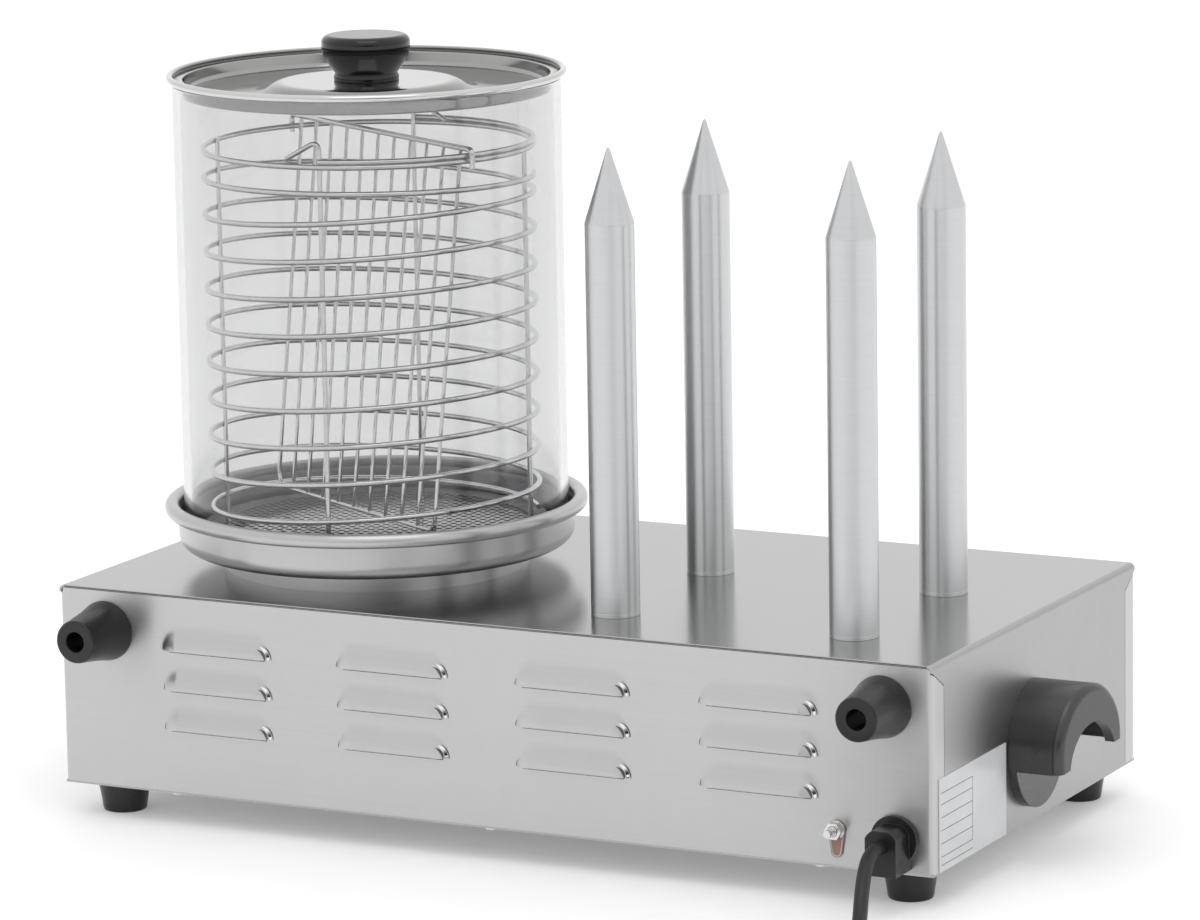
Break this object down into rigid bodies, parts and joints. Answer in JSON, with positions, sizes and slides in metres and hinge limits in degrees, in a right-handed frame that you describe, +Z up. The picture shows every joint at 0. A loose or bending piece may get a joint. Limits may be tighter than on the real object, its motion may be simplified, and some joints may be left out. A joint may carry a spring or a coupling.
{
  "type": "hot dog maker",
  "caption": "Countertop hot dog maker: a sheet steel base with heated spikes for rolls and a glass steam cylinder with a wire basket for sausages, under a dished lid.",
  "frame": {"origin": "under the middle of the base, at the height of the feet", "axes": "+X to the right seen from the controls, +Y to the vented rear, +Z up"},
  "size_m": [0.561, 0.5374, 0.3974],
  "materials": {
    "body_steel": "brushed stainless steel sheet",
    "bright_steel": "polished stainless steel",
    "satin_aluminium": "satin, turned",
    "rubber": "matte black",
    "handle_plastic": "fine satin grain",
    "black_gloss": "polished",
    "clear_glass": "clear, polished edges",
    "brass": "plain",
    "plate_film": "pale blue-grey film, bare",
    "tag_film": "reddish brown with a pale border",
    "lamp_amber": "translucent",
    "switch_red": "polished",
    "insulator": "cream moulding",
    "element_steel": "heat-tinted"
  },
  "bodies": {
    "base": {"housing_shell": "body_steel", "rear_panel": "body_steel", "front_panel": "body_steel", "bottom_plate": "body_steel", "cover_screws": "bright_steel", "foot_rear_left": "rubber", "foot_rear_right": "rubber", "foot_front_left": "rubber", "foot_front_right": "rubber", "foot_screws": "bright_steel", "wall_bumper_left": "rubber", "wall_bumper_right": "rubber", "bumper_screws": "bright_steel", "handle_left": "handle_plastic", "handle_right": "handle_plastic", "handle_screws": "bright_steel", "inner_nuts": "bright_steel", "rating_plate": "plate_film", "earth_stud": "bright_steel", "earth_tag": "tag_film", "earth_washer": "bright_steel", "earth_nuts": "bright_steel", "cord_gland": "rubber", "gland_nut": "rubber", "toasting_spike_1": "satin_aluminium", "toasting_spike_2": "satin_aluminium", "toasting_spike_3": "satin_aluminium", "toasting_spike_4": "satin_aluminium", "spike_nuts": "bright_steel", "spike_heaters": "brass", "heater_plate": "satin_aluminium", "heater_element": "element_steel", "heater_nuts": "bright_steel", "thermostat_body": "insulator", "dial_plate": "bright_steel", "rocker_frame": "black_gloss", "pilot_lamp_steam": "lamp_amber", "pilot_lamp_spikes": "lamp_amber", "terminal_block": "insulator", "cord_lead": "rubber", "cord_coil": "rubber", "coil_tie": "handle_plastic", "cord_tail": "rubber", "plug_body": "rubber", "plug_pins": "brass"},
    "water_pan": {"water_pan": "satin_aluminium"},
    "steam_plate": {"steam_plate": "bright_steel"},
    "glass": {"glass_cylinder": "clear_glass"},
    "basket": {"basket_spiral": "bright_steel", "basket_top_ring": "bright_steel", "basket_uprights": "bright_steel", "basket_half_ring": "bright_steel"},
    "divider": {"divider_frame": "bright_steel", "divider_wires": "bright_steel"},
    "lid": {"lid_shell": "bright_steel", "lid_knob": "black_gloss", "lid_screw": "bright_steel"},
    "dial": {"control_shaft": "brass", "control_knob": "black_gloss"},
    "rocker": {"rocker_button": "switch_red"}
  },
  "joints": [
    {"name": "pan_lift", "type": "slide", "parent": "base", "child": "water_pan", "axis": [0, 0, 1], "range_m": [0, 0.05]},
    {"name": "steam_plate_lift", "type": "slide", "parent": "water_pan", "child": "steam_plate", "axis": [0, 0, 1], "range_m": [0, 0.06]},
    {"name": "glass_lift", "type": "slide", "parent": "steam_plate", "child": "glass", "axis": [0, 0, 1], "range_m": [0, 0.06]},
    {"name": "basket_lift", "type": "slide", "parent": "glass", "child": "basket", "axis": [0, 0, 1], "range_m": [0, 0.25]},
    {"name": "divider_lift", "type": "slide", "parent": "basket", "child": "divider", "axis": [0, 0, 1], "range_m": [0, 0.25]},
    {"name": "lid_lift", "type": "slide", "parent": "divider", "child": "lid", "axis": [0, 0, 1], "range_m": [0, 0.1]},
    {"name": "temperature_turn", "type": "hinge", "parent": "base", "child": "dial", "pos_m": [0.121, -0.145, 0.0675], "axis": [0, 1, 0], "range_deg": [0, 270]},
    {"name": "rocker_tip", "type": "hinge", "parent": "base", "child": "rocker", "pos_m": [-0.1174, -0.129, 0.0675], "axis": [-1, 0, 0], "range_deg": [0, 16]}
  ]
}
